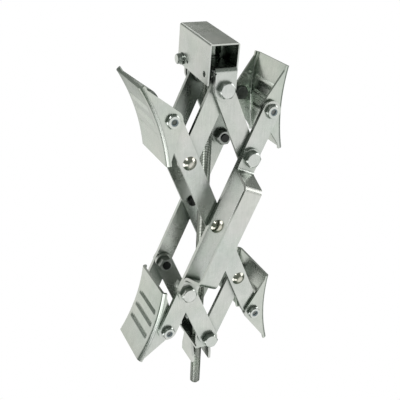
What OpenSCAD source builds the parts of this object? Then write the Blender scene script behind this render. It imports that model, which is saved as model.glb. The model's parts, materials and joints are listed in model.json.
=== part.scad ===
// Scissor chock for the gap between two tandem wheels.
// X runs from wheel to wheel, Y through the chock from front to rear, Z up the screw.
// The origin is the crossing point of the arms, on the screw's axis.

/* [Linkage] */
// Distance from the centre rivet to a link pivot, and between a link's two pivots
link_pitch = 86; // [84:0.5:88]
// Distance from the centre rivet to a pad pivot
pad_reach = 141; // [139:0.5:145]
// Angle between an arm and the screw, as modelled
arm_angle = 23.7; // [20:0.1:28]
// Width of the arms and links
bar_w = 22; // [20:0.5:22]
// Thickness of the arms and links
bar_t = 4.5; // [4:0.1:4.6]
// Gap between neighbouring layers of bars
layer_gap = 0.5; // [0.4:0.1:0.6]
// Half the width over the outer faces of the outer arms
half_w = 40; // [39:0.5:42]

/* [Screw] */
// Diameter of the threaded rod
rod_d = 12.7; // [12:0.1:13]
// Height of the rod's lower end below the centre
rod_bottom = 250; // [246:1:270]
// Width across the flats of the drive nut and the rod nut
nut_af = 19.05; // [18.8:0.05:19.1]

/* [Pads] */
// Height of a pad along its chord
pad_h = 91; // [86:1:94]
// Radius of the pad's concave face
pad_r = 210; // [200:5:260]
// Distance from the pad's pivot to the chord of its face
pad_reach_out = 21.5; // [20.5:0.5:23]
// Thickness of the pad's sheet
pad_t = 3; // [2.6:0.1:3.2]
// Lean of the left pads away from the screw
left_lean = 19; // [0:1:20]
// Lean of the lower right pad away from the screw
right_lean = 3; // [0:1:6]

/* [Head] */
// Outer width of the lock cover
cover_w = 33; // [29:0.5:34]
// Length of the lock cover, front to rear
cover_l = 78; // [76:0.5:80]
// Height of the lock cover
cover_h = 43; // [42:0.5:43]
// Angle by which the closed cover's front end hangs down
cover_tilt = 4.4; // [3:0.1:4.6]
// Thickness of the lock cover's sheet
cover_t = 1.6; // [1.2:0.1:1.8]

/* [Handle] */
// Clear height under the handle's grip
handle_gap = 30.5; // [28:0.5:34]
// Thickness of the handle's strap
handle_t = 3.2; // [2.5:0.1:3.5]

/* [Hidden] */
$fn = 48;
eps = 0.01;

// Clearances: turning fit, loose hole at an opened pivot, and side play between bodies
fit_gap = 0.08;
loose_gap = 0.4;
side_gap = 0.3;

// Layers of flat bars, counted inwards from the outer face of the outer arm
pitch_y = bar_t + layer_gap;
function layer_y(i) = half_w - i * pitch_y;

// Pivot heights of the scissor at rest
apex_z = 2 * link_pitch * cos(arm_angle);
mid_x = link_pitch * sin(arm_angle);
mid_z = link_pitch * cos(arm_angle);
pad_x = pad_reach * sin(arm_angle);
pad_z = pad_reach * cos(arm_angle);

// Pivot bolts and rivets
bolt_d = 10;
bolt_af = 16;
bolt_head_h = 6.4;
bolt_nut_h = 8;
rivet_d = 9;
rivet_head_d = 16;
rivet_head_h = 3.8;
rivet_tail_d = 11.5;
rivet_tail_h = 3;
pad_bolt_d = 8;
pad_bolt_af = 14;
pad_head_h = 4.5;
pad_hex_h = 3.4;
pad_nut_h = 5;
pad_collar_d = 13;
ring_t = 1.4;
ring_d = 11.4;
ring_depth = 0.4;
ring_hole_d = 6;
pad_bolt_reach = pad_nut_h - ring_depth - ring_t;

// Top bracket: an inverted U folded from flat bar, with two lugs for the cover's bolt
bracket_w = 24;
bracket_t = 4;
web_top = apex_z + 23;
web_z = web_top - bracket_t;
bend_r = 5;
lug_t = 3;
lug_y = 24;
lug_l = 12;
lug_bottom = apex_z + 10.5;
notch_d = 2.2;
rod_hole_d = rod_d + 0.8;

// Parts on the screw
thrust_d = 22;
thrust_t = 2;
drive_flange_d = 20;
drive_flange_t = 3;
drive_nut_h = 12;
drive_z = web_top + thrust_t + side_gap;
rod_top = drive_z + drive_flange_t + drive_nut_h + 1.5;
keeper_washer_t = 2;
keeper_nut_h = 11;
rod_chamfer = 2.5;

// Lock cover: an inverted channel that swings up on the bolt at its rear
// Its right wall runs close beside the bracket, and its spare width is on the left
cover_right = 14.5;
cover_x = cover_right - cover_w / 2;
cover_below = 6.6;
cover_behind = 10;
cover_corner_r = 6.5;
cover_bolt_d = 6;
cover_bolt_af = 10;
cover_bolt_h = 6;
cover_flange_d = 13;
cover_flange_t = 1.4;
cover_nut_h = 6;
cover_pivot_y = 32.5;
cover_pivot_z = web_z - cover_bolt_d / 2 - 0.4;
lock_hole_d = 6.4;
lock_hole_y = -26;
lock_hole_z = apex_z + 14;
peep_hole_d = 3.5;
peep_hole_y = 17;

// Bottom bracket: ears fold up to the pivot bolts and side walls fold down beside the rod nut
foot_w = 26;
foot_t = 3;
foot_ear_w = 24;
foot_ear_t = 3.5;
foot_ear_y = layer_y(3);
foot_web_z = -apex_z - 18.5;
foot_wall_bottom = -apex_z - 47;
foot_wall_l = 31.5;
foot_wall_cut = 10;
rod_nut_h = 11;

// Pads: three ribs pressed across each face, set towards the pad's far end
eye_r = 11.5;
rib_pitch = 17.5;
rib_shift = 3.5;
rib_l = 56;
rib_r = 3.8;
rib_depth = 1.8;
groove_r = 2.2;
pad_bend_r = 5;
pad_half_a = half_w - bar_t - layer_gap;
pad_half_b = layer_y(1) + layer_gap + pad_t;
tip_w = 4;

// Handle strap
strap_w = bar_w;
strap_foot = 69;
strap_top = 60;
strap_bend_r = 6;
bend_steps = 8;

// ---------- placing ----------

// Draws its children at the front, and mirrored at the rear
module front_and_rear() {
  children();
  mirror([0, 1, 0]) children();
}

// side is 1 for the front and -1 for the rear
module on_side(side) {
  if (side == 1) children();
  else mirror([0, 1, 0]) children();
}

// A flat plate on the front side: its outline is drawn in X and Z, its outer face is at y = -outer
module plate(outer, thickness) {
  translate([0, thickness - outer, 0]) rotate([90, 0, 0]) linear_extrude(thickness) children();
}

// Turns an upright bar to lean towards +X by angle
module lean(angle) {
  rotate([0, angle, 0]) children();
}

// A pin or head along Y on the front side, from y = -outer inwards for length
module rod_y(outer, length, d) {
  translate([0, length - outer, 0]) rotate([90, 0, 0]) cylinder(d = d, h = length);
}

// A hexagonal prism along Z with its corners bevelled at the top
module hex_prism(af, h, bevel) {
  corner_d = af / cos(30);
  intersection() {
    cylinder(d = corner_d, h = h, $fn = 6);
    union() {
      cylinder(d = corner_d + 1, h = h - bevel);
      translate([0, 0, h - bevel]) cylinder(d1 = corner_d + 0.2, d2 = af * 0.94, h = bevel, $fn = 48);
    }
  }
}

// ---------- fasteners along Y, drawn for the front side ----------

// Hex head whose underside is at y = -face, standing outwards
module hex_head_y(face, af, h) {
  translate([0, -face, 0]) rotate([90, 0, 0]) hex_prism(af, h, 1.2);
}

// Hex nut whose outer side is at y = -face, standing inwards
module hex_nut_y(face, af, h, d) {
  difference() {
    translate([0, h - face, 0]) rotate([90, 0, 0]) mirror([0, 0, 1]) translate([0, 0, -h])
      hex_prism(af, h, 1);
    rod_y(face + 1, h + 2, d);
  }
}

// Bolt with its head standing outwards from y = -face and a shank of the given length
module bolt_y(face, length) {
  hex_head_y(face, bolt_af, bolt_head_h);
  rod_y(face + eps, length, bolt_d);
}

// Domed rivet through a stack of the given length, with an upset tail inside
module rivet_y(face, length, head_gap = 0) {
  dome_r = (pow(rivet_head_d / 2, 2) + pow(rivet_head_h, 2)) / (2 * rivet_head_h);
  base = face + head_gap;
  intersection() {
    translate([0, -base - rivet_head_h + dome_r, 0]) sphere(r = dome_r, $fn = 64);
    rod_y(base + rivet_head_h + 1, rivet_head_h + 1, rivet_head_d + 1);
  }
  rod_y(base + eps, length + head_gap + rivet_tail_h, rivet_d);
  difference() {
    rod_y(face - length, rivet_tail_h, rivet_tail_d);
    rod_y(face - length - rivet_tail_h + 1.2, 1.2 + eps, rivet_d - 3);
  }
}

// ---------- bars ----------

// Outline of an upright flat bar with round ends, from z = -low to z = high
module bar_outline(low, high, w) {
  translate([-w / 2, -low]) square([w, low + high]);
  translate([0, -low]) circle(d = w);
  translate([0, high]) circle(d = w);
}

// A long arm of the scissor with its five holes
module arm(outer, pad_hole_d, mid_hole_d) {
  plate(outer, bar_t) difference() {
    bar_outline(pad_reach, pad_reach, bar_w);
    circle(d = rivet_d + 2 * fit_gap);
    for (end = [-1, 1]) {
      translate([0, end * link_pitch]) circle(d = mid_hole_d);
      translate([0, end * pad_reach]) circle(d = pad_hole_d);
    }
  }
}

// A link from its arm pivot at the origin up to its apex pivot
module link(outer, arm_hole_d, apex_hole_d) {
  plate(outer, bar_t) difference() {
    bar_outline(0, link_pitch, bar_w);
    circle(d = arm_hole_d);
    translate([0, link_pitch]) circle(d = apex_hole_d);
  }
}

module arm_a(side) {
  color("lightgray") on_side(side) lean(arm_angle) arm(half_w, pad_bolt_d, bolt_d);
}

module arm_b(side) {
  color("lightgray") on_side(side) lean(-arm_angle) arm(layer_y(1), pad_bolt_d, rivet_d);
}

// right: 1 or -1 for the side the link's arm pivot is on, up: 1 or -1 for the top or bottom pair
module scissor_link(side, right, up) {
  on_bolt = right == up;
  tight = 2 * fit_gap;
  apex_hole_d = bolt_d + (on_bolt ? tight : 2 * loose_gap);
  arm_hole_d = (on_bolt ? bolt_d : rivet_d) + tight;
  color(on_bolt ? "lightgray" : "silver") on_side(side)
    translate([right * mid_x, 0, up * mid_z]) lean((up == 1 ? 0 : 180) - right * up * arm_angle)
      link(layer_y(on_bolt ? 1 : 2), arm_hole_d, apex_hole_d);
}

// ---------- centre, arm A and arm B hardware ----------

module centre_rivets() {
  color("gainsboro") front_and_rear() rivet_y(half_w, 2 * bar_t + layer_gap + side_gap, side_gap);
}

module at_arm_a_mid() {
  for (end = [-1, 1]) translate([end * mid_x, 0, end * mid_z]) children();
}

module arm_a_bolts(side, face) {
  inner = layer_y(2) - bolt_nut_h - 1.5;
  color("whitesmoke") on_side(side) at_arm_a_mid() bolt_y(face, face - inner);
}

module arm_a_nuts() {
  color("silver") front_and_rear() at_arm_a_mid()
    hex_nut_y(layer_y(2) + layer_gap - side_gap, bolt_af, bolt_nut_h, bolt_d);
}

module at_arm_b_mid() {
  for (end = [-1, 1]) translate([-end * mid_x, 0, end * mid_z]) children();
}

module arm_b_rivets() {
  stack = 2 * bar_t + layer_gap + side_gap;
  color("gainsboro") front_and_rear() at_arm_b_mid() rivet_y(layer_y(1), stack);
}

// right: 1 for arm A, whose upper pad is on the right, and -1 for arm B
module at_pad_pivots(right) {
  for (end = [-1, 1]) translate([right * end * pad_x, 0, end * pad_z]) children();
}

// Pad bolt: its head is inside at y = -head_face and its end is inside the lock nut
module pad_bolts(right, nut_face, head_face) {
  color("silver") front_and_rear() at_pad_pivots(right) {
    mirror([0, 1, 0]) hex_head_y(-head_face, pad_bolt_af, pad_head_h);
    rod_y(nut_face + pad_bolt_reach, nut_face + pad_bolt_reach - head_face + eps, pad_bolt_d);
  }
}

// Lock nut: a hexagon with a round collar that holds a plastic ring
module pad_nuts(right, nut_face) {
  color("silver") front_and_rear() at_pad_pivots(right) difference() {
    union() {
      hex_head_y(nut_face, pad_bolt_af, pad_hex_h);
      rod_y(nut_face + pad_nut_h, pad_nut_h, pad_collar_d);
    }
    rod_y(nut_face + pad_nut_h + 1, pad_nut_h + 2, pad_bolt_d);
    rod_y(nut_face + pad_nut_h - ring_depth, ring_t, ring_d);
  }
}

module nut_inserts(right, nut_face) {
  color("lightsteelblue") front_and_rear() at_pad_pivots(right) difference() {
    rod_y(nut_face + pad_nut_h - ring_depth, ring_t, ring_d);
    rod_y(nut_face + pad_nut_h, ring_t + 1, ring_hole_d);
  }
}

nut_face_a = half_w;
head_face_a = pad_half_a - pad_t - side_gap;
nut_face_b = pad_half_b + side_gap;
head_face_b = layer_y(1) - bar_t;

// ---------- handle ----------

// Points of the strap's centreline, along the arm and outwards from the arm's face
strap_path = [
  [-link_pitch - bar_w, handle_t / 2],
  [-strap_foot, handle_t / 2],
  [-strap_top, handle_gap + handle_t / 2],
  [strap_top, handle_gap + handle_t / 2],
  [strap_foot, handle_t / 2],
  [link_pitch + bar_w, handle_t / 2]
];

function unit(v) = v / norm(v);
function turn(a, b, c) = let (u = b - a, v = c - b) atan2(u[0] * v[1] - u[1] * v[0], u * v);

// Points of the arc, at a distance beside the centreline, that rounds the bend at b
function bend_arc(a, b, c, beside) =
  let (
    angle = turn(a, b, c),
    u = unit(b - a),
    left = sign(angle) * [-u[1], u[0]],
    centre = b - u * strap_bend_r * tan(abs(angle) / 2) + left * strap_bend_r,
    r = strap_bend_r - sign(angle) * beside,
    start = atan2(-left[1], -left[0])
  )
  [for (i = [0:bend_steps]) let (at = start + angle * i / bend_steps) centre + r * [cos(at), sin(at)]];

// One side of the strap, at a distance beside the centreline
function strap_side(beside) =
  let (last = len(strap_path) - 1)
  [
    strap_path[0] + [0, beside],
    for (i = [1:last - 1]) each bend_arc(strap_path[i - 1], strap_path[i], strap_path[i + 1], beside),
    strap_path[last] + [0, beside]
  ];

function reverse(list) = [for (i = [len(list) - 1:-1:0]) list[i]];

module strap_profile() {
  polygon(concat(strap_side(-handle_t / 2), reverse(strap_side(handle_t / 2))));
}

module handle() {
  rise = handle_gap + handle_t;
  color("lightgray") lean(arm_angle) intersection() {
    translate([-strap_w / 2, -half_w, 0]) rotate([0, -90, 180]) linear_extrude(strap_w) strap_profile();
    plate(half_w + rise, rise + eps) difference() {
      bar_outline(link_pitch, link_pitch, strap_w);
      for (end = [-1, 1]) translate([0, end * link_pitch]) circle(d = bolt_d);
    }
  }
}

// ---------- head ----------

// Quarter of a folded bend along X; its centre is at the origin and it fills +Z and outward -Y
module fold_x(r, t, w) {
  translate([-w / 2, 0, 0]) intersection() {
    difference() {
      rotate([0, 90, 0]) cylinder(r = r, h = w);
      translate([-1, 0, 0]) rotate([0, 90, 0]) cylinder(r = r - t, h = w + 2);
    }
    translate([0, -r, 0]) cube([w, r, r]);
  }
}

module bracket_ear() {
  ear_top = web_top - bend_r;
  plate(half_w, bracket_t) difference() {
    union() {
      translate([-bracket_w / 2, apex_z]) square([bracket_w, ear_top - apex_z]);
      translate([0, apex_z]) circle(d = bracket_w);
    }
    translate([0, apex_z]) circle(d = bolt_d);
    for (end = [-1, 1]) translate([end * bracket_w / 2, ear_top - 1]) circle(d = notch_d, $fn = 24);
  }
  translate([0, bend_r - half_w, web_top - bend_r]) fold_x(bend_r, bracket_t, bracket_w);
}

module bracket_lug(end) {
  lug_x = end == 1 ? bracket_w / 2 - lug_t : -bracket_w / 2;
  difference() {
    translate([lug_x, lug_y, lug_bottom]) cube([lug_t, lug_l, web_z - lug_bottom + eps]);
    translate([lug_x - 1, cover_pivot_y, cover_pivot_z]) rotate([0, 90, 0])
      cylinder(d = cover_bolt_d, h = lug_t + 2);
  }
}

module top_bracket() {
  flat_l = 2 * (half_w - bend_r);
  color("lightgray") {
    difference() {
      translate([-bracket_w / 2, -flat_l / 2, web_z]) cube([bracket_w, flat_l, bracket_t]);
      translate([0, 0, web_z - 1]) cylinder(d = rod_hole_d, h = bracket_t + 2);
    }
    front_and_rear() bracket_ear();
    for (end = [-1, 1]) bracket_lug(end);
  }
}

module top_pivot_bolts() {
  inner = layer_y(3) - bolt_nut_h - 1.5;
  color("whitesmoke") front_and_rear() translate([0, 0, apex_z]) bolt_y(half_w, half_w - inner);
}

module top_pivot_nuts() {
  color("silver") front_and_rear() translate([0, 0, apex_z])
    hex_nut_y(layer_y(3) + layer_gap - side_gap, bolt_af, bolt_nut_h, bolt_d);
}

module thrust_washer() {
  color("gainsboro") translate([0, 0, web_top]) difference() {
    cylinder(d = thrust_d, h = thrust_t);
    translate([0, 0, -1]) cylinder(d = rod_hole_d, h = thrust_t + 2);
  }
}

module at_cover_pivot() {
  translate([cover_x, cover_pivot_y, cover_pivot_z]) rotate([0, 90, 0]) children();
}

module cover_bolt() {
  head_x = -cover_w / 2 - side_gap;
  end_x = cover_w / 2 + side_gap + cover_nut_h + 1;
  color("whitesmoke") at_cover_pivot() {
    translate([0, 0, head_x - eps]) cylinder(d = cover_bolt_d, h = end_x - head_x);
    translate([0, 0, head_x - cover_flange_t]) cylinder(d = cover_flange_d, h = cover_flange_t);
    translate([0, 0, head_x - cover_flange_t]) mirror([0, 0, 1])
      hex_prism(cover_bolt_af, cover_bolt_h - cover_flange_t, 1);
  }
}

module cover_bolt_nut() {
  color("silver") at_cover_pivot() translate([0, 0, cover_w / 2 + side_gap]) difference() {
    hex_prism(cover_bolt_af, cover_nut_h, 1);
    translate([0, 0, -1]) cylinder(d = cover_bolt_d, h = cover_nut_h + 2);
  }
}

// ---------- lock cover ----------

// The cover is drawn level, with the hinge bolt's axis at the origin, Y to the rear and Z up

// Outline of the cover's side: its rear lower corner is round
module cover_side() {
  corner = [cover_behind - cover_corner_r, cover_corner_r - cover_below];
  translate([cover_behind - cover_l, -cover_below]) square([cover_l - cover_corner_r, cover_h]);
  translate([corner[0] - 1, corner[1]]) square([cover_corner_r + 1, cover_h - cover_corner_r]);
  translate(corner) circle(r = cover_corner_r);
}

// Cross-section of the cover in X and Z, a channel with two folded top edges
module cover_section() {
  fold_r = cover_t + 0.8;
  inner = cover_w - 2 * cover_t;
  top = cover_h - cover_below;
  difference() {
    union() {
      translate([-cover_w / 2, -cover_below]) square([cover_w, cover_h - fold_r]);
      translate([fold_r - cover_w / 2, -cover_below]) square([cover_w - 2 * fold_r, cover_h]);
      for (end = [-1, 1]) translate([end * (cover_w / 2 - fold_r), top - fold_r]) circle(r = fold_r);
    }
    translate([-inner / 2, -cover_below - 1]) square([inner, cover_h + 1 - cover_t]);
  }
}

// A hole through both of the cover's walls, at a place in the head
module cover_hole(y, z, d) {
  translate([cover_x - cover_w / 2 - 1, y, z]) rotate([0, 90, 0]) cylinder(d = d, h = cover_w + 2);
}

module lock_cover() {
  color("lightgray") difference() {
    translate([cover_x, cover_pivot_y, cover_pivot_z]) rotate([cover_tilt, 0, 0]) intersection() {
      translate([0, cover_behind, 0]) rotate([90, 0, 0]) linear_extrude(cover_l) cover_section();
      translate([-cover_w / 2 - 1, 0, 0]) rotate([90, 0, 90]) linear_extrude(cover_w + 2) cover_side();
    }
    cover_hole(cover_pivot_y, cover_pivot_z, cover_bolt_d + 2 * fit_gap);
    cover_hole(lock_hole_y, lock_hole_z, lock_hole_d);
    cover_hole(peep_hole_y, cover_pivot_z, peep_hole_d);
  }
}

// ---------- screw ----------

module threaded_rod() {
  color("darkgray") {
    translate([0, 0, rod_chamfer - rod_bottom])
      cylinder(d = rod_d, h = rod_bottom + rod_top - 2 * rod_chamfer);
    for (end = [
      [-rod_bottom, rod_d - 2 * rod_chamfer, rod_d],
      [rod_top - rod_chamfer, rod_d, rod_d - 2 * rod_chamfer]
    ]) translate([0, 0, end[0]]) cylinder(d1 = end[1], d2 = end[2], h = rod_chamfer);
  }
}

module drive_flange() {
  color("gainsboro") translate([0, 0, drive_z]) difference() {
    union() {
      cylinder(d = drive_flange_d, h = drive_flange_t / 2);
      translate([0, 0, drive_flange_t / 2])
        cylinder(d1 = drive_flange_d, d2 = drive_flange_d - 3, h = drive_flange_t / 2);
    }
    translate([0, 0, -1]) cylinder(d = rod_d, h = drive_flange_t + 2);
  }
}

// A hex nut along Z, bevelled on both faces
module hex_nut_z(h) {
  difference() {
    intersection() {
      hex_prism(nut_af, h, 1.2);
      translate([0, 0, h]) mirror([0, 0, 1]) hex_prism(nut_af, h, 1.2);
    }
    translate([0, 0, -1]) cylinder(d = rod_d, h = h + 2);
  }
}

module drive_nut() {
  color("silver") translate([0, 0, drive_z + drive_flange_t]) rotate([0, 0, 30]) hex_nut_z(drive_nut_h);
}

module keeper_washer() {
  color("gainsboro") translate([0, 0, web_z - side_gap - keeper_washer_t]) difference() {
    cylinder(d = thrust_d - 1, h = keeper_washer_t);
    translate([0, 0, -1]) cylinder(d = rod_d, h = keeper_washer_t + 2);
  }
}

module keeper_nut() {
  color("silver") translate([0, 0, web_z - side_gap - keeper_washer_t - keeper_nut_h])
    hex_nut_z(keeper_nut_h);
}

// ---------- bottom bracket ----------

module foot_ear() {
  plate(foot_ear_y, foot_ear_t) difference() {
    union() {
      translate([-foot_ear_w / 2, foot_web_z]) square([foot_ear_w, -apex_z - foot_web_z]);
      translate([0, -apex_z]) circle(d = foot_ear_w);
    }
    translate([0, -apex_z]) circle(d = bolt_d);
  }
}

// Side wall in Y and Z, narrowed towards the web
module foot_wall_outline() {
  half = foot_wall_l / 2;
  top = foot_web_z + eps;
  polygon([
    [-half, foot_wall_bottom], [half, foot_wall_bottom],
    [half, foot_wall_bottom + foot_wall_cut], [half - foot_wall_cut / 2, top],
    [foot_wall_cut / 2 - half, top], [-half, foot_wall_bottom + foot_wall_cut]
  ]);
}

module bottom_bracket() {
  color("lightgray") {
    difference() {
      translate([-foot_w / 2, -foot_ear_y, foot_web_z]) cube([foot_w, 2 * foot_ear_y, foot_t]);
      translate([0, 0, foot_web_z - 1]) cylinder(d = rod_hole_d, h = foot_t + 2);
    }
    front_and_rear() foot_ear();
    for (x = [-foot_w / 2, foot_w / 2 - foot_t]) translate([x, 0, 0])
      rotate([90, 0, 90]) linear_extrude(foot_t) foot_wall_outline();
  }
}

module rod_nut() {
  color("silver") translate([0, 0, foot_web_z - rod_nut_h]) difference() {
    rotate([0, 0, 30]) hex_prism(nut_af, rod_nut_h, 1.2);
    translate([0, 0, -1]) cylinder(d = rod_d + 2 * side_gap, h = rod_nut_h + 2);
  }
}

module bottom_pivot_bolts() {
  face = layer_y(1) + side_gap;
  inner = foot_ear_y - foot_ear_t - bolt_nut_h - 1.5;
  color("whitesmoke") front_and_rear() translate([0, 0, -apex_z]) bolt_y(face, face - inner);
}

module bottom_pivot_nuts() {
  color("silver") front_and_rear() translate([0, 0, -apex_z])
    hex_nut_y(foot_ear_y - foot_ear_t, bolt_af, bolt_nut_h, bolt_d);
}

// ---------- pads ----------

// In a pad's own frame its pivot is the origin and its face looks along +X
face_x = pad_reach_out - (pad_r - sqrt(pad_r * pad_r - pad_h * pad_h / 4));
tyre_x = face_x + pad_r;

// Folded sheet swept about the tyre's axis: the face, and two flanges standing inwards
module pad_shell(half) {
  sweep = 2 * asin(pad_h / 2 / pad_r) + 4;
  flange = 45;
  translate([tyre_x, 0, 0]) rotate([90, 0, 0]) rotate([0, 0, 180 - sweep / 2])
    rotate_extrude(angle = sweep, $fn = 180) difference() {
      union() {
        translate([pad_r + pad_bend_r, -half]) square([flange, 2 * half]);
        translate([pad_r, pad_bend_r - half]) square([flange, 2 * (half - pad_bend_r)]);
        for (end = [-1, 1]) translate([pad_r + pad_bend_r, end * (half - pad_bend_r)])
          circle(r = pad_bend_r);
      }
      translate([pad_r + pad_bend_r, pad_t - half]) square([flange + 1, 2 * (half - pad_t)]);
      translate([pad_r + pad_t, pad_bend_r - half]) square([flange + 1, 2 * (half - pad_bend_r)]);
      for (end = [-1, 1]) translate([pad_r + pad_bend_r, end * (half - pad_bend_r)])
        circle(r = pad_bend_r - pad_t);
    }
}

// Side view of a pad: a band behind the face, and a triangle that ends round about the pivot.
// The triangle's sides run just inside the round end, so that they cross its outline cleanly.
module pad_outline() {
  side_r = eye_r - 0.15;
  tip = [pad_reach_out - tip_w, pad_h / 2];
  touch = atan2(tip[1], tip[0]) + acos(side_r / norm(tip));
  shoulder = side_r * [cos(touch), sin(touch)];
  circle(r = eye_r);
  polygon([
    [pad_reach_out + 1, pad_h / 2], tip, shoulder,
    [shoulder[0], -shoulder[1]], [tip[0], -tip[1]], [pad_reach_out + 1, -pad_h / 2]
  ]);
}

// Middle point of rib i on a circle about the tyre's axis; far is 1 or -1 for the far end's side
module at_rib(i, far, r) {
  along = far * (rib_shift + i * rib_pitch);
  turn_by = asin(along / pad_r);
  translate([tyre_x - r * cos(turn_by), 0, r * sin(turn_by)]) children();
}

// A bar along Y with ball ends
module pill_y(length, r) {
  straight = length - 2 * r;
  rotate([90, 0, 0]) cylinder(r = r, h = straight, center = true);
  for (end = [-1, 1]) translate([0, end * straight / 2, 0]) sphere(r = r);
}

module pad(half, far) {
  difference() {
    union() {
      intersection() {
        pad_shell(half);
        rotate([90, 0, 0]) linear_extrude(2 * half + 2, center = true) pad_outline();
      }
      difference() {
        for (i = [-1:1]) at_rib(i, far, pad_r + pad_t + rib_depth - rib_r)
          pill_y(rib_l + 2 * (rib_r - groove_r), rib_r);
        translate([tyre_x, 0, 0]) rotate([90, 0, 0])
          cylinder(r = pad_r + pad_t - 0.4, h = 2 * half, center = true, $fn = 180);
      }
    }
    for (i = [-1:1]) at_rib(i, far, pad_r + rib_depth - groove_r) pill_y(rib_l, groove_r);
    rotate([90, 0, 0]) cylinder(d = pad_bolt_d + 2 * fit_gap, h = 2 * half + 2, center = true);
  }
}

// right and up say which of the four corners the pad is at
module placed_pad(right, up, lean_out) {
  color("lightgray") translate([right * pad_x, 0, up * pad_z]) rotate([0, right * up * lean_out, 0])
    rotate([0, 0, right == 1 ? 0 : 180]) pad(right == up ? pad_half_a : pad_half_b, up);
}

// ---------- nodes ----------

centre_rivets();
arm_a(1);  // arm_a_front
arm_a(-1);  // arm_a_rear
handle();
arm_a_bolts(1, half_w + handle_t);  // arm_a_front_bolts
arm_a_bolts(-1, half_w);  // arm_a_rear_bolts
arm_a_nuts();
pad_bolts(1, nut_face_a, head_face_a);  // arm_a_pad_bolts
pad_nuts(1, nut_face_a);  // arm_a_pad_nuts
nut_inserts(1, nut_face_a);  // arm_a_nut_inserts
arm_b(1);  // arm_b_front
arm_b(-1);  // arm_b_rear
arm_b_rivets();
pad_bolts(-1, nut_face_b, head_face_b);  // arm_b_pad_bolts
pad_nuts(-1, nut_face_b);  // arm_b_pad_nuts
nut_inserts(-1, nut_face_b);  // arm_b_nut_inserts
scissor_link(1, 1, 1);  // link_upper_right_front
scissor_link(-1, 1, 1);  // link_upper_right_rear
scissor_link(1, -1, 1);  // link_upper_left_front
scissor_link(-1, -1, 1);  // link_upper_left_rear
scissor_link(1, -1, -1);  // link_lower_left_front
scissor_link(-1, -1, -1);  // link_lower_left_rear
scissor_link(1, 1, -1);  // link_lower_right_front
scissor_link(-1, 1, -1);  // link_lower_right_rear
top_bracket();
top_pivot_bolts();
top_pivot_nuts();
thrust_washer();
cover_bolt();
cover_bolt_nut();
lock_cover();
threaded_rod();
drive_flange();
drive_nut();
keeper_washer();
keeper_nut();
bottom_bracket();
rod_nut();
bottom_pivot_bolts();
bottom_pivot_nuts();
placed_pad(-1, 1, left_lean);  // pad_upper_left
placed_pad(-1, -1, left_lean);  // pad_lower_left
placed_pad(1, 1, 0);  // pad_upper_right
placed_pad(1, -1, right_lean);  // pad_lower_right
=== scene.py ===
# Scissor wheel chock: looks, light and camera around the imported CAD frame.
import json
import math

import bmesh
import bpy
from mathutils import Matrix, Vector


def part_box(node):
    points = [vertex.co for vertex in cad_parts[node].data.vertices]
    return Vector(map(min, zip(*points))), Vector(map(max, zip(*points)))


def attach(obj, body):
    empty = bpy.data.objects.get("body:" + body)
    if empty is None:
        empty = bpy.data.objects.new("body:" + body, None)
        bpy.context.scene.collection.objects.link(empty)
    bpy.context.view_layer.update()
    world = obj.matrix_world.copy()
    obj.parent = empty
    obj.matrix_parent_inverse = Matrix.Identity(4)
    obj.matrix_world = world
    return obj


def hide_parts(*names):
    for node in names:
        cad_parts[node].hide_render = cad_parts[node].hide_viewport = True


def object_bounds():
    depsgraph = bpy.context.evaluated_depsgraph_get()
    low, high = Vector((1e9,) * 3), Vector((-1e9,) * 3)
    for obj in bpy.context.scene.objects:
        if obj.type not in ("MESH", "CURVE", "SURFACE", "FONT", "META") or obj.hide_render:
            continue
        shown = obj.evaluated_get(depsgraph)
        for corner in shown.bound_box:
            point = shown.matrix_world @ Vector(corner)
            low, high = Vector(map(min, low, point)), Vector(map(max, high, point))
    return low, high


MM = 0.001

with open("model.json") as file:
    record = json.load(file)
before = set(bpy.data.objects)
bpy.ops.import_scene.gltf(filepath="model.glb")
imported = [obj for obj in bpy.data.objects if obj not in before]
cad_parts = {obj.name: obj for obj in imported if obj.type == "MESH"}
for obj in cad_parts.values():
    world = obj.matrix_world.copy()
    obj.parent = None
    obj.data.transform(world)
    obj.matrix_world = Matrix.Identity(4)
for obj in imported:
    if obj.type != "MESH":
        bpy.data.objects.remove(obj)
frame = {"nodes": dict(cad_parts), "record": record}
NODES = frame["nodes"]
JOINTS = {joint["name"]: joint for joint in frame["record"]["behaviour"]["joints"]}
cad_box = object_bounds()


# ---------- camera and light ----------

CAMERA_PLACE = Vector((-0.311, -0.6457, 0.3598))
CAMERA_AZIMUTH = math.radians(-25.41)
CAMERA_ELEVATION = math.radians(25.73)
CAMERA_ROLL = math.radians(2.63)
CAMERA_LENS = 62.0
SENSOR_WIDTH = 36


def make_camera():
    back = Vector((
        math.sin(CAMERA_AZIMUTH) * math.cos(CAMERA_ELEVATION),
        -math.cos(CAMERA_AZIMUTH) * math.cos(CAMERA_ELEVATION),
        math.sin(CAMERA_ELEVATION),
    ))
    level = Vector((0, 0, 1)).cross(back).normalized()
    upright = back.cross(level)
    right = math.cos(CAMERA_ROLL) * level + math.sin(CAMERA_ROLL) * upright
    up = math.cos(CAMERA_ROLL) * upright - math.sin(CAMERA_ROLL) * level
    data = bpy.data.cameras.new("camera")
    data.lens = CAMERA_LENS
    data.sensor_width = SENSOR_WIDTH
    camera = bpy.data.objects.new("camera", data)
    bpy.context.scene.collection.objects.link(camera)
    turn = Matrix((right, up, back)).transposed()
    camera.matrix_world = Matrix.Translation(CAMERA_PLACE) @ turn.to_4x4()
    bpy.context.scene.camera = camera


# Area lights in metres and watts: (name, place, aim, size, power)
LIGHTS = [
    ("key", (-0.9, -1.2, 1.5), (0, 0, 0), (0.5, 0.5), 6),
    ("fill", (1.3, -0.9, 0.5), (0, 0, 0), (0.3, 1.0), 2.5),
    ("back", (0.3, 1.4, 1.2), (0, 0, 0.05), (0.6, 0.4), 1.2),
]


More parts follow.
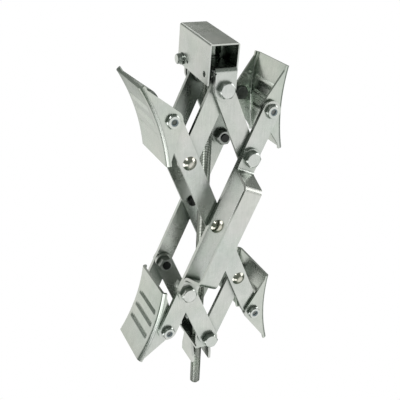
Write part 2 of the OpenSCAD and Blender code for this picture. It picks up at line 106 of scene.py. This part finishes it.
def area_light(name, place, aim, size, power):
    data = bpy.data.lights.new(name, "AREA")
    data.shape = "RECTANGLE"
    data.size, data.size_y = size
    data.energy = power
    light = bpy.data.objects.new(name, data)
    bpy.context.scene.collection.objects.link(light)
    direction = Vector(aim) - Vector(place)
    light.location = place
    light.rotation_euler = direction.to_track_quat("-Z", "Y").to_euler()


# What the metal reflects: a dark room that is lighter above, and soft panels.
# ROOM_SPAN is the direction's height over which the room's colour changes.
# Each panel is (direction, half width in degrees, softness in degrees, colour and brightness).
ROOM_SPAN = (-0.6, 0.9)
ROOM_LOW = (0.13, 0.170, 0.135)
ROOM_HIGH = (0.23, 0.25, 0.23)
PANELS = [
    ((0.45, -0.74, -0.50), 13, 32, (1.24, 1.25, 1.23)),
    ((-0.52, 0.74, -0.38), 17, 30, (1.10, 1.11, 1.07)),
    ((0.74, 0.58, -0.38), 13, 25, (0.85, 0.86, 0.84)),
    ((-0.30, 0.60, 0.55), 10, 20, (0.34, 0.36, 0.34)),
    ((0.45, 0.62, 0.62), 12, 22, (0.36, 0.37, 0.35)),
    ((-0.80, -0.39, -0.45), 9, 14, (3.2, 3.2, 3.2)),
    ((-0.42, -0.78, -0.45), 5, 11, (2.6, 2.6, 2.6)),
    ((0.9, -0.2, 0.25), 8, 14, (2.4, 2.4, 2.4)),
]
SEEN_WHITE = 1.0
CAST_STRENGTH = 0.8
FLOOR_HALF = 6.0
FLOOR_DROP = 2 * MM
FLOOR_COLOR = (0.85, 0.85, 0.85, 1)


def camera_only(tree, seen, cast, out):
    """Shows one shader to the camera and another to reflections and light."""
    path = tree.nodes.new("ShaderNodeLightPath")
    mix = tree.nodes.new("ShaderNodeMixShader")
    tree.links.new(path.outputs["Is Camera Ray"], mix.inputs[0])
    tree.links.new(cast, mix.inputs[1])
    tree.links.new(seen, mix.inputs[2])
    tree.links.new(mix.outputs[0], out.inputs["Surface"])


def make_world():
    world = bpy.data.worlds.new("studio")
    bpy.context.scene.world = world
    world.use_nodes = True
    tree = world.node_tree
    nodes, links = tree.nodes, tree.links
    nodes.clear()
    out = nodes.new("ShaderNodeOutputWorld")
    seen = nodes.new("ShaderNodeBackground")
    seen.inputs["Color"].default_value = (1, 1, 1, 1)
    seen.inputs["Strength"].default_value = SEEN_WHITE
    cast = nodes.new("ShaderNodeBackground")
    cast.inputs["Strength"].default_value = CAST_STRENGTH
    coord = nodes.new("ShaderNodeTexCoord")
    split = nodes.new("ShaderNodeSeparateXYZ")
    links.new(coord.outputs["Generated"], split.inputs[0])
    room = blend_world(tree, split.outputs["Z"], ROOM_SPAN, ROOM_LOW, ROOM_HIGH)
    links.new(room, cast.inputs["Color"])
    for direction, width, soft, color in PANELS:
        dot = nodes.new("ShaderNodeVectorMath")
        dot.operation = "DOT_PRODUCT"
        dot.inputs[1].default_value = Vector(direction).normalized()
        links.new(coord.outputs["Generated"], dot.inputs[0])
        span = (math.cos(math.radians(width + soft)), math.cos(math.radians(width)))
        behind = cast.inputs["Color"].links[0].from_socket
        links.new(blend_world(tree, dot.outputs["Value"], span, behind, color), cast.inputs["Color"])
    camera_only(tree, seen.outputs[0], cast.outputs[0], out)


def blend_world(tree, value, span, a, b):
    """Blends from a to b as value crosses span, smoothly."""
    level = tree.nodes.new("ShaderNodeMapRange")
    level.interpolation_type = "SMOOTHSTEP"
    level.inputs["From Min"].default_value, level.inputs["From Max"].default_value = span
    tree.links.new(value, level.inputs["Value"])
    mix = tree.nodes.new("ShaderNodeMix")
    mix.data_type = "RGBA"
    tree.links.new(level.outputs[0], mix.inputs[0])
    for source, socket in ((a, mix.inputs[6]), (b, mix.inputs[7])):
        if isinstance(source, tuple):
            socket.default_value = (*source, 1)
        else:
            tree.links.new(source, socket)
    return mix.outputs[2]


def make_floor():
    mesh = bpy.data.meshes.new("floor")
    z = cad_box[0][2] - FLOOR_DROP
    turns = ((-1, -1), (1, -1), (1, 1), (-1, 1))
    corners = [(FLOOR_HALF * x, FLOOR_HALF * y, z) for x, y in turns]
    mesh.from_pydata(corners, [], [(0, 1, 2, 3)])
    floor = bpy.data.objects.new("floor", mesh)
    bpy.context.scene.collection.objects.link(floor)
    floor.visible_glossy = False
    material = bpy.data.materials.new("floor_white")
    material.use_nodes = True
    tree = material.node_tree
    glow = tree.nodes.new("ShaderNodeEmission")
    glow.inputs["Strength"].default_value = SEEN_WHITE
    shader = tree.nodes["Principled BSDF"]
    shader.inputs["Base Color"].default_value = FLOOR_COLOR
    shader.inputs["Roughness"].default_value = 1
    camera_only(tree, glow.outputs[0], shader.outputs[0], tree.nodes["Material Output"])
    mesh.materials.append(material)


# ---------- materials ----------

# A noise's usual range, which ramp() spreads over its own
NOISE_LOW = 0.3
NOISE_HIGH = 0.7


class Tree:
    """Short calls for building a material's nodes."""

    def __init__(self, name):
        self.material = bpy.data.materials.new(name)
        self.material.use_nodes = True
        self.nodes = self.material.node_tree.nodes
        self.links = self.material.node_tree.links
        self.shader = self.nodes["Principled BSDF"]

    def node(self, kind, **values):
        made = self.nodes.new(kind)
        for key, value in values.items():
            setattr(made, key, value)
        return made

    def link(self, source, target):
        self.links.new(source, target)

    def coordinates(self, stretch=(1, 1, 1), turn_y=0.0):
        coord = self.node("ShaderNodeTexCoord")
        mapping = self.node("ShaderNodeMapping")
        mapping.inputs["Rotation"].default_value = (0, turn_y, 0)
        mapping.inputs["Scale"].default_value = stretch
        self.link(coord.outputs["Object"], mapping.inputs["Vector"])
        return mapping.outputs["Vector"]

    def noise(self, vector, scale, detail, rough=0.5):
        made = self.node("ShaderNodeTexNoise")
        made.inputs["Scale"].default_value = scale
        made.inputs["Detail"].default_value = detail
        made.inputs["Roughness"].default_value = rough
        self.link(vector, made.inputs["Vector"])
        return made.outputs["Fac"]

    def beyond_y(self, distance):
        """0 within a distance of the chock's middle plane, and 1 beyond it."""
        coord = self.node("ShaderNodeTexCoord")
        split = self.node("ShaderNodeSeparateXYZ")
        self.link(coord.outputs["Object"], split.inputs[0])
        size = self.node("ShaderNodeMath", operation="ABSOLUTE")
        self.link(split.outputs["Y"], size.inputs[0])
        past = self.node("ShaderNodeMath", operation="GREATER_THAN")
        past.inputs[1].default_value = distance
        self.link(size.outputs[0], past.inputs[0])
        return past.outputs[0]

    def ramp(self, value, low, high):
        made = self.node("ShaderNodeMapRange")
        made.inputs["From Min"].default_value = NOISE_LOW
        made.inputs["From Max"].default_value = NOISE_HIGH
        made.inputs["To Min"].default_value = low
        made.inputs["To Max"].default_value = high
        self.link(value, made.inputs["Value"])
        return made.outputs[0]

    def mix(self, factor, a, b):
        made = self.node("ShaderNodeMix", data_type="RGBA")
        for value, socket in ((factor, made.inputs[0]), (a, made.inputs[6]), (b, made.inputs[7])):
            if isinstance(value, (int, float)):
                socket.default_value = value
            elif isinstance(value, tuple):
                socket.default_value = (*value, 1)
            else:
                self.link(value, socket)
        return made.outputs[2]

    def bump(self, height, strength, distance, below=None):
        made = self.node("ShaderNodeBump")
        made.inputs["Strength"].default_value = strength
        made.inputs["Distance"].default_value = distance
        self.link(height, made.inputs["Height"])
        if below is not None:
            self.link(below, made.inputs["Normal"])
        return made.outputs["Normal"]


# The bolts' and rivets' inner ends get near-black painted shade: nearer to the middle plane than this
INNER_END = 30.5 * MM
INNER_SHADE_COLOR = (0.035, 0.037, 0.035)
# Zinc plating: factors on the tint where it is cooler or warmer
COOL = (0.62, 0.69, 0.64)
WARM = (1.0, 0.96, 0.86)
# The colours mixed into it, and how much of each at most
LILAC = (0.66, 0.63, 0.66)
GRAIN_COLOR = (0.34, 0.37, 0.34)
BLOTCH_COLOR = (0.44, 0.48, 0.44)
LILAC_SHARE = 0.5
WARM_SHARE = 0.35
GRAIN_SHARE = 0.22
BLOTCH_SHARE = 0.42
# Its noises: (scale per metre, detail, roughness)
CLOUD_NOISE = (22, 4, 0.6)
PATCH_NOISE = (16, 3, 0.5)
LILAC_NOISE = (35, 3, 0.5)
BLOTCH_NOISE = (60, 5, 0.7)
GRAIN_NOISE = (90, 4, 0.65)
GRIT_NOISE = (900, 2, 0.5)
WAVE_NOISE = (14, 1, 0.5)
GRAIN_STRETCH = (9, 9, 0.6)
# Its bumps: (strength, height)
WAVE_BUMP = (0.22, 4 * MM)
GRAIN_BUMP = (0.14, 0.4 * MM)
GRIT_BUMP = (0.12, 0.2 * MM)
ROUGH_LESS = 0.08
ROUGH_MORE = 0.10
# Painted shade in hollows and between parts: the ambient occlusion where the painted shade is full, and
# where it ends
HOLLOW_SHADE = (0.13, 0.165, 0.135)
HOLLOW_LOW = 0.12
HOLLOW_HIGH = 0.78
HOLLOW_SAMPLES = 8


def tinted(tint, factors):
    return tuple(channel * factor for channel, factor in zip(tint, factors))


def zinc(name, tint, rough, turn_y=0.0, shade=HOLLOW_SHADE, reach=0.11, painted_shade_inside=False):
    """Bright zinc plating: cloudy colour, rolled grain along the part, fine grit, and painted shade in
    hollows.

    turn_y leans the grain, and reach is how far away other surfaces still paint shade into a hollow.
    """
    tree = Tree(name)
    still = tree.coordinates()
    along = tree.coordinates(stretch=GRAIN_STRETCH, turn_y=turn_y)
    clouds = tree.noise(still, *CLOUD_NOISE)
    patches = tree.noise(still, *PATCH_NOISE)
    grain = tree.noise(along, *GRAIN_NOISE)
    grit = tree.noise(still, *GRIT_NOISE)
    base = tree.mix(tree.ramp(clouds, 0, 1), tinted(tint, COOL), tint)
    base = tree.mix(tree.ramp(tree.noise(still, *LILAC_NOISE), 0, LILAC_SHARE), base, LILAC)
    base = tree.mix(tree.ramp(patches, 0, WARM_SHARE), base, tinted(tint, WARM))
    base = tree.mix(tree.ramp(grain, 0, GRAIN_SHARE), base, GRAIN_COLOR)
    blotches = tree.noise(still, *BLOTCH_NOISE)
    base = tree.mix(tree.ramp(blotches, 0, BLOTCH_SHARE), base, BLOTCH_COLOR)
    # Painted shade: ambient occlusion blends the colour towards the shade colour in hollows and between
    # parts
    hollow = tree.node("ShaderNodeAmbientOcclusion", samples=HOLLOW_SAMPLES)
    hollow.inputs["Distance"].default_value = reach
    closed = tree.node("ShaderNodeMapRange")
    closed.inputs["From Min"].default_value = HOLLOW_LOW
    closed.inputs["From Max"].default_value = HOLLOW_HIGH
    tree.link(hollow.outputs["AO"], closed.inputs["Value"])
    base = tree.mix(closed.outputs[0], shade, base)
    # Painted shade: the inner ends near the middle plane are made near black
    if painted_shade_inside:
        base = tree.mix(tree.beyond_y(INNER_END), INNER_SHADE_COLOR, base)
    tree.link(base, tree.shader.inputs["Base Color"])
    tree.shader.inputs["Metallic"].default_value = 1.0
    spread = tree.ramp(clouds, rough - ROUGH_LESS, rough + ROUGH_MORE)
    tree.link(spread, tree.shader.inputs["Roughness"])
    waves = tree.bump(tree.noise(still, *WAVE_NOISE), *WAVE_BUMP)
    rolled = tree.bump(grain, *GRAIN_BUMP, waves)
    tree.link(tree.bump(grit, *GRIT_BUMP, rolled), tree.shader.inputs["Normal"])
    return tree.material


NYLON_DARK = (0.42, 0.50, 0.57)
NYLON_LIGHT = (0.58, 0.66, 0.70)


def nylon(name):
    """The lock nuts' plastic rings."""
    tree = Tree(name)
    still = tree.coordinates()
    base = tree.mix(tree.noise(still, 300, 2), NYLON_DARK, NYLON_LIGHT)
    tree.link(base, tree.shader.inputs["Base Color"])
    tree.shader.inputs["Roughness"].default_value = 0.45
    tree.link(tree.bump(tree.noise(still, 1200, 2), 0.1, 0.0002), tree.shader.inputs["Normal"])
    return tree.material


# The bars' lean from upright, in radians, and the shared tints
ARM_LEAN = 0.4136
PLATE = (0.86, 0.87, 0.855)
HARDWARE = (0.9, 0.91, 0.91)
# PAD_SHADE is the painted shade colour in the pads' hollows, lighter and greener
PAD_SHADE = (0.34, 0.42, 0.345)
MATERIALS = {
    "lean_a": zinc("zinc_lean_a", PLATE, 0.27, ARM_LEAN),
    "lean_b": zinc("zinc_lean_b", PLATE, 0.27, -ARM_LEAN),
    "plate": zinc("zinc_plate", PLATE, 0.27, reach=0.04),
    "pad": zinc("zinc_pad", (0.78, 0.81, 0.77), 0.24, shade=PAD_SHADE, reach=0.04),
    "hardware": zinc("zinc_hardware", HARDWARE, 0.22, reach=0.012),
    "bolt": zinc("zinc_bolt", HARDWARE, 0.22, reach=0.012, painted_shade_inside=True),
    # The nuts on the inner side: a darker copy of the zinc, painted shade
    "nut_painted_shade": zinc("zinc_nut_painted_shade", (0.3, 0.32, 0.3), 0.3, reach=0.02),
    "polished": zinc("zinc_polished", (0.84, 0.79, 0.68), 0.13, reach=0.015, painted_shade_inside=True),
    # Near black, painted shade: the bolt ends recessed in the lock nuts' rings
    "dark": zinc("zinc_recess_painted_shade", (0.05, 0.05, 0.05), 0.5, reach=0.01),
    "rod": zinc("zinc_rod", (0.9, 0.92, 0.88), 0.26, reach=0.012),
    "nylon": nylon("nylon_ring"),
}
SLOT_MATERIAL = {
    "zinc_plate": "plate", "pad_zinc": "pad", "zinc_hardware": "hardware",
    "polished_zinc": "polished", "dark_zinc": "dark", "rod_zinc": "rod", "nylon": "nylon",
}


def node_material(node, slot):
    """Bars get grain along their lean; a few nodes differ from their slot; the rest follow it."""
    if node in ("arm_a_front", "arm_a_rear", "handle"):
        return MATERIALS["lean_a"]
    if node in ("arm_b_front", "arm_b_rear"):
        return MATERIALS["lean_b"]
    if node.startswith("link_"):
        leaning_right = "upper_left" in node or "lower_right" in node
        return MATERIALS["lean_a" if leaning_right else "lean_b"]
    # The inner nuts take the darker zinc, which is painted shade
    if node in ("arm_a_nuts", "top_pivot_nuts", "bottom_pivot_nuts"):
        return MATERIALS["nut_painted_shade"]
    if node in ("arm_a_front_bolts", "arm_a_rear_bolts", "top_pivot_bolts", "bottom_pivot_bolts"):
        return MATERIALS["bolt"]
    if node in ("thrust_washer", "drive_flange", "keeper_washer"):
        return MATERIALS["hardware"]
    return MATERIALS[SLOT_MATERIAL[slot]]


# Rounding of the CAD nodes' edges in mm, by slot
OTHER_EDGE_WIDTH = 0.25
EDGE_WIDTH = {"zinc_plate": 0.75, "pad_zinc": 0.4, "zinc_hardware": 0.3, "polished_zinc": 0.2}


def soften_edges(obj, width):
    """Rounds the sharp edges a little and smooths across the rounds."""
    bevel = obj.modifiers.new("round", "BEVEL")
    bevel.width = width
    bevel.segments = 2
    bevel.limit_method = "ANGLE"
    bevel.angle_limit = math.radians(40)
    bevel.harden_normals = True
    smooth = obj.modifiers.new("smooth", "WEIGHTED_NORMAL")
    smooth.keep_sharp = True
    smooth.weight = 90


def dress_nodes():
    slots = {part["node"]: part["material_slot"] for part in frame["record"]["subparts"]}
    for name, obj in NODES.items():
        obj.data.materials.clear()
        obj.data.materials.append(node_material(name, slots[name]))
        soften_edges(obj, EDGE_WIDTH.get(slots[name], OTHER_EDGE_WIDTH) * MM)


# ---------- detailed pieces ----------

def finish_piece(name, bm, material, body, replaced, flat_angle):
    """Makes an object from bm, shades it smooth up to an angle, and puts it in the frame."""
    bmesh.ops.recalc_face_normals(bm, faces=bm.faces)
    mesh = bpy.data.meshes.new(name)
    bm.to_mesh(mesh)
    bm.free()
    mesh.shade_smooth()
    mesh.set_sharp_from_angle(angle=math.radians(flat_angle))
    mesh.materials.append(material)
    piece = bpy.data.objects.new(name, mesh)
    bpy.context.scene.collection.objects.link(piece)
    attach(piece, body)
    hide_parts(replaced)


THREAD_PITCH = 25.4 / 13 * MM
THREAD_DEPTH = 0.95 * MM
THREAD_SIDES = 24
ROD_CHAMFER = 2.2 * MM
ROD_FLAT_ANGLE = 50
# One turn of the thread's outline: (share of the pitch, depth below the crest)
THREAD_OUTLINE = [(0.0, THREAD_DEPTH), (0.12, THREAD_DEPTH), (0.38, 0.0), (0.62, 0.0), (0.88, THREAD_DEPTH)]


def make_rod():
    """The rod with its rolled thread: the rows of the mesh follow the helix."""
    low, high = (Vector(corner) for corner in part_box("threaded_rod"))
    radius = (high.x - low.x) / 2
    rows = len(THREAD_OUTLINE)
    turns = int((high.z - low.z) / THREAD_PITCH) + 4
    bm = bmesh.new()
    grid = []
    for j in range(turns * rows):
        turn, step = divmod(j, rows)
        share, depth = THREAD_OUTLINE[step]
        ring = []
        for i in range(THREAD_SIDES):
            z = low.z + (turn - 2 + share + i / THREAD_SIDES) * THREAD_PITCH
            to_end = max(0.0, min(z - low.z, high.z - z))
            r = min(radius - depth, radius - ROD_CHAMFER + to_end)
            angle = math.tau * i / THREAD_SIDES
            ring.append(bm.verts.new((r * math.cos(angle), r * math.sin(angle), z)))
        grid.append(ring)
    for j in range(len(grid) - 1):
        for i in range(THREAD_SIDES):
            after = i + 1
            shift = 0
            if after == THREAD_SIDES:
                after, shift = 0, rows
            if j + 1 + shift < len(grid):
                lower, upper = grid[j + shift], grid[j + 1 + shift]
                bm.faces.new((grid[j][i], lower[after], upper[after], grid[j + 1][i]))
    for z, normal in ((low.z, (0, 0, -1)), (high.z, (0, 0, 1))):
        everything = bm.verts[:] + bm.edges[:] + bm.faces[:]
        bmesh.ops.bisect_plane(
            bm, geom=everything, plane_co=(0, 0, z), plane_no=normal, clear_outer=True)
    open_edges = [edge for edge in bm.edges if edge.is_boundary]
    bmesh.ops.holes_fill(bm, edges=open_edges, sides=0)
    finish_piece("rod_thread", bm, MATERIALS["rod"], "screw", "threaded_rod", ROD_FLAT_ANGLE)


# The pads' shape: the same driving sizes as the CAD pads
PAD_HEIGHT = 91 * MM
PAD_RADIUS = 210 * MM
PAD_REACH = 21.5 * MM
PAD_SHEET = 3.0 * MM
PAD_TIP = 4.0 * MM
PAD_EYE = 11.5 * MM
PAD_FOLD = 5.0 * MM
RIB_PITCH = 17.5 * MM
RIB_SHIFT = 3.5 * MM
RIB_HALF = 27.0 * MM
RIB_RAMP = 8.5 * MM
RIB_STEP = 1.8 * MM
RIB_RISE = 2.1 * MM
RIB_END = 4 * MM
PAD_FLAT_ANGLE = 40
LEAST_FLANGE = 0.8 * MM
FLANGE_SHARES = (0, 0.33, 0.66)
PAD_ROWS = 168
FOLD_STEPS = 8
FACE_STEPS = 42


def smooth_step(x):
    x = max(0.0, min(1.0, x))
    return x * x * (3 - 2 * x)


def rib_height(along, across, far):
    """How far the face is pressed in: a ramp that ends in a sharp step, at each of three ribs."""
    height = 0.0
    for i in (-1, 0, 1):
        x = along * far - RIB_SHIFT - i * RIB_PITCH
        if -RIB_RAMP < x < RIB_STEP:
            rise = smooth_step((x + RIB_RAMP) / RIB_RAMP) if x < 0 else 1 - smooth_step(x / RIB_STEP)
            ends = smooth_step((RIB_HALF - abs(across)) / RIB_END)
            height = max(height, RIB_RISE * rise * ends)
    return height


def flange_reach(phi, axis_x):
    """Distance from the tyre's axis to the flange's free edge, in the direction phi."""
    phi = abs(phi)
    tip = Vector((PAD_REACH - PAD_TIP, PAD_HEIGHT / 2))
    touch = math.atan2(tip.y, tip.x) + math.acos(PAD_EYE / tip.length)
    shoulder = PAD_EYE * Vector((math.cos(touch), math.sin(touch)))
    if math.atan2(shoulder.y, axis_x - shoulder.x) > phi:
        return axis_x * math.cos(phi) + math.sqrt(PAD_EYE ** 2 - (axis_x * math.sin(phi)) ** 2)
    along = shoulder - tip
    start = tip - Vector((axis_x, 0))
    ray = Vector((-math.cos(phi), math.sin(phi)))
    crossing = (start.x * along.y - start.y * along.x) / (ray.x * along.y - ray.y * along.x)
    return max(crossing, PAD_RADIUS + PAD_FOLD + LEAST_FLANGE)


def thickened(bm):
    """Gives a sheet mesh the pads' thickness and returns it as a new bmesh."""
    bmesh.ops.recalc_face_normals(bm, faces=bm.faces)
    flat = bpy.data.meshes.new("flat_sheet")
    bm.to_mesh(flat)
    bm.free()
    holder = bpy.data.objects.new("flat_sheet", flat)
    bpy.context.scene.collection.objects.link(holder)
    sheet = holder.modifiers.new("sheet", "SOLIDIFY")
    sheet.thickness = PAD_SHEET
    sheet.offset = 0
    sheet.use_even_offset = True
    depsgraph = bpy.context.evaluated_depsgraph_get()
    thick = bpy.data.meshes.new_from_object(holder.evaluated_get(depsgraph))
    result = bmesh.new()
    result.from_mesh(thick)
    bpy.data.objects.remove(holder)
    bpy.data.meshes.remove(flat)
    bpy.data.meshes.remove(thick)
    return result


def make_pad(name, node, joint, side, far, lean):
    """One pad: a sheet with a curved ribbed face and two folded flanges, given its thickness.

    The sheet's rows run along the tyre's circle, and each row is a section from flange to flange.
    """
    low, high = (Vector(corner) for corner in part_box(node))
    half = ((high - low) / 2).y
    sagitta = PAD_RADIUS - math.sqrt(PAD_RADIUS ** 2 - PAD_HEIGHT ** 2 / 4)
    axis_x = PAD_REACH - sagitta + PAD_RADIUS
    limit = math.asin(PAD_HEIGHT / 2 / PAD_RADIUS)
    body = JOINTS[joint]["child"]
    place = Matrix.Translation(Vector(JOINTS[joint]["pos_m"]))
    place = place @ Matrix.Rotation(math.radians(side * far * lean), 4, "Y")
    place = place @ Matrix.Rotation(0 if side == 1 else math.pi, 4, "Z")
    middle = PAD_SHEET / 2
    bend = PAD_FOLD - middle
    inner = half - PAD_FOLD
    side_y = half - middle
    bm = bmesh.new()
    rows = []
    for j in range(PAD_ROWS + 1):
        phi = limit * (2 * j / PAD_ROWS - 1)
        reach = flange_reach(phi, axis_x)
        section = []
        for share in FLANGE_SHARES:
            section.append((reach + (PAD_RADIUS + PAD_FOLD - reach) * share, side_y))
        for k in range(FOLD_STEPS + 1):
            angle = math.pi / 2 * k / FOLD_STEPS
            r = PAD_RADIUS + PAD_FOLD - bend * math.sin(angle)
            section.append((r, inner + bend * math.cos(angle)))
        face = []
        for k in range(1, FACE_STEPS):
            y = inner - 2 * inner * k / FACE_STEPS
            face.append((PAD_RADIUS + middle + rib_height(axis_x * phi, y, far), y))
        section += face + [(r, -y) for r, y in reversed(section)]
        row = []
        for r, y in section:
            point = Vector((axis_x - r * math.cos(phi), y, r * math.sin(phi)))
            row.append(bm.verts.new(place @ point))
        rows.append(row)
    for lower, upper in zip(rows, rows[1:]):
        for k in range(len(lower) - 1):
            bm.faces.new((lower[k], lower[k + 1], upper[k + 1], upper[k]))
    finish_piece(name, thickened(bm), MATERIALS["pad"], body, node, PAD_FLAT_ANGLE)


# Each pad: its pivot, its side in x, its side in z, and its lean in degrees
PADS = {
    "upper_left": ("pad_ul_pivot", -1, 1, 19),
    "lower_left": ("pad_ll_pivot", -1, -1, 19),
    "upper_right": ("pad_ur_pivot", 1, 1, 0),
    "lower_right": ("pad_lr_pivot", 1, -1, 3),
}


def make_pads():
    for corner, (joint, side, far, lean) in PADS.items():
        make_pad("pressed_pad_" + corner, "pad_" + corner, joint, side, far, lean)


bpy.context.scene.view_settings.view_transform = "Standard"
make_camera()
make_world()
make_floor()
for light_row in LIGHTS:
    area_light(*light_row)
dress_nodes()
make_rod()
make_pads()
